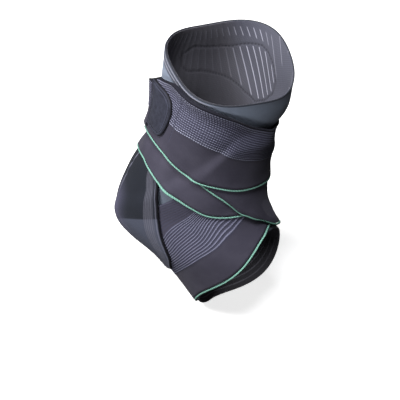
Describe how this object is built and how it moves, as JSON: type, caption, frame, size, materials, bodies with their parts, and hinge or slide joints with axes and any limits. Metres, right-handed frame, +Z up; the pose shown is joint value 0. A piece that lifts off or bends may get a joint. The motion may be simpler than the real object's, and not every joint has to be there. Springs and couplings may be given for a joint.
{
  "type": "ankle brace",
  "caption": "Soft ankle support: a knitted sleeve open at leg and foot, a heel panel, and one long elastic strap wound round it and closed with a tab.",
  "frame": {"origin": "centre of the ankle joint, inside the sleeve's hollow, where the leg that holds the brace up has its ankle", "axes": "+Z up along the leg, +X to the toes, -Y to the outer side of the ankle"},
  "size_m": [0.1094, 0.0894, 0.196],
  "materials": {
    "shell": "smooth stretch knit, satin",
    "lining": "ribbed knit, matt",
    "panel": "smooth stretch knit with rolled hems, satin",
    "strap": "woven elastic, matt with light ribs",
    "edge": "thin woven edge, matt",
    "tab": "moulded hook tab, satin"
  },
  "bodies": {
    "root": {"sleeve_shell": "shell", "knit_lining": "lining", "heel_panel": "panel", "strap": "strap", "strap_edge": "edge", "hook_tab": "tab"}
  },
  "joints": []
}
